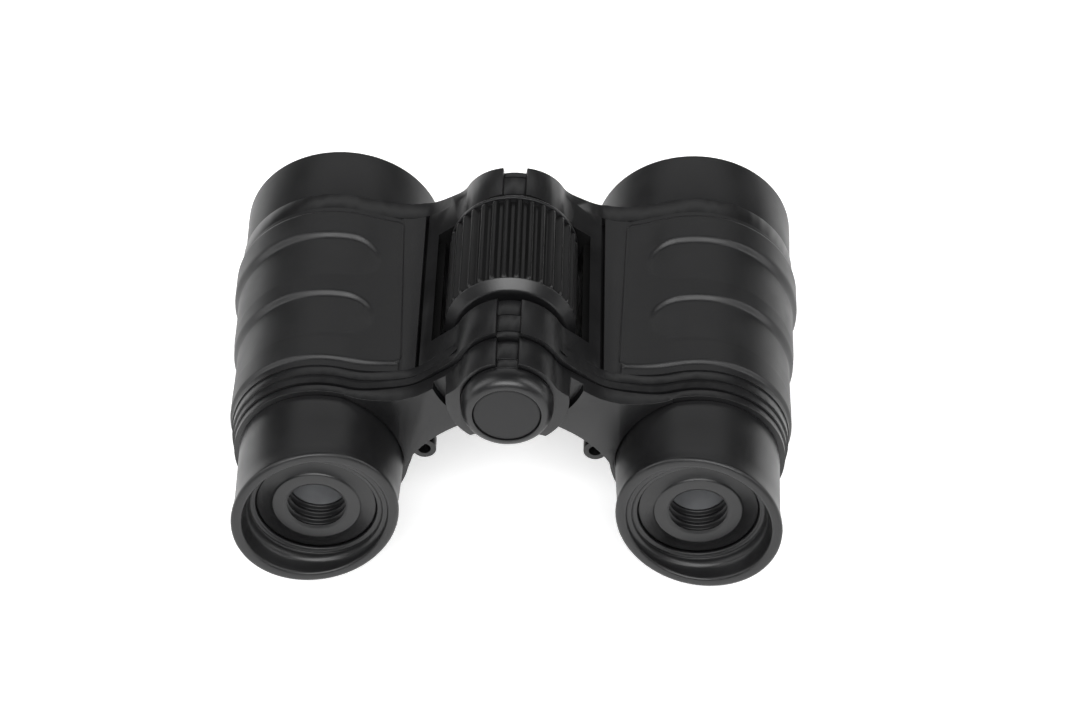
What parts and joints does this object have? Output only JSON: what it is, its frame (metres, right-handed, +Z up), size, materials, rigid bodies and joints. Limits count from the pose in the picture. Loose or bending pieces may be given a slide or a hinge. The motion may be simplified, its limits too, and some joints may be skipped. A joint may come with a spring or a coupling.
{
  "type": "compact folding binoculars",
  "caption": "Compact black folding binoculars with ribbed focus wheel, hinged rubber-covered barrels, angled eyecups and sliding eyepieces.",
  "frame": {"origin": "on the table under the middle of the binoculars", "axes": "+X to the user's right barrel, +Y towards the objectives, +Z up"},
  "size_m": [0.0994, 0.077, 0.0467],
  "materials": {
    "body_shell": "satin moulded ABS",
    "grip_rubber": "matt moulded rubber",
    "hood": "satin moulded ABS",
    "coated_glass": "polished, coated",
    "black_trim": "matt black",
    "eyecup_rubber": "soft matt rubber",
    "ocular": "satin moulded ABS",
    "zinc_screw": "zinc plated",
    "end_cap": "semi-gloss moulded ABS",
    "cap_disc": "fine matt",
    "brass_screw": "turned",
    "wheel_core": "semi-gloss moulded ABS",
    "wheel_sleeve": "ribbed rubber",
    "pin_steel": "turned",
    "washer_plastic": "acetal"
  },
  "bodies": {
    "left_half": {"left_barrel_body": "body_shell", "left_grip_cover": "grip_rubber", "left_objective_hood": "hood", "left_objective_lens": "coated_glass", "left_objective_retainer": "black_trim", "left_light_stop": "black_trim", "hinge_tube": "pin_steel", "hinge_pin": "pin_steel", "hinge_washers": "washer_plastic"},
    "right_half": {"right_barrel_body": "body_shell", "right_grip_cover": "grip_rubber", "right_objective_hood": "hood", "right_objective_lens": "coated_glass", "right_objective_retainer": "black_trim", "right_light_stop": "black_trim"},
    "focus_wheel": {"focus_wheel_core": "wheel_core", "focus_wheel_sleeve": "wheel_sleeve"},
    "focus_screw": {"focus_screw": "brass_screw", "end_cap": "end_cap", "end_cap_disc": "cap_disc", "cap_screw": "zinc_screw"},
    "left_eyepiece": {"left_eyepiece_arm": "body_shell", "left_eyecup": "eyecup_rubber", "left_ocular_ring": "ocular", "left_eye_lens": "coated_glass", "left_eye_lens_retainer": "black_trim"},
    "right_eyepiece": {"right_eyepiece_arm": "body_shell", "right_eyecup": "eyecup_rubber", "right_ocular_ring": "ocular", "right_eye_lens": "coated_glass", "right_eye_lens_retainer": "black_trim"}
  },
  "joints": [
    {"name": "fold", "type": "hinge", "parent": "left_half", "child": "right_half", "pos_m": [0, 0, 0.0357], "axis": [0, 1, 0], "range_deg": [-24, 24]},
    {"name": "focus_turn", "type": "hinge", "parent": "left_half", "child": "focus_wheel", "pos_m": [0, 0, 0.0357], "axis": [0, 1, 0], "range_deg": [0, 300]},
    {"name": "screw_slide", "type": "slide", "parent": "left_half", "child": "focus_screw", "axis": [0, -1, 0], "range_m": [0, 0.005]},
    {"name": "left_eyepiece_slide", "type": "slide", "parent": "left_half", "child": "left_eyepiece", "axis": [0, -1, 0], "range_m": [0, 0.005]},
    {"name": "right_eyepiece_slide", "type": "slide", "parent": "right_half", "child": "right_eyepiece", "axis": [0, -1, 0], "range_m": [0, 0.005]}
  ],
  "couplings": [
    {"joint": "screw_slide", "follows": "focus_turn", "m_per_rad": 0.00095},
    {"joint": "left_eyepiece_slide", "follows": "focus_turn", "m_per_rad": 0.00095},
    {"joint": "right_eyepiece_slide", "follows": "focus_turn", "m_per_rad": 0.00095}
  ]
}
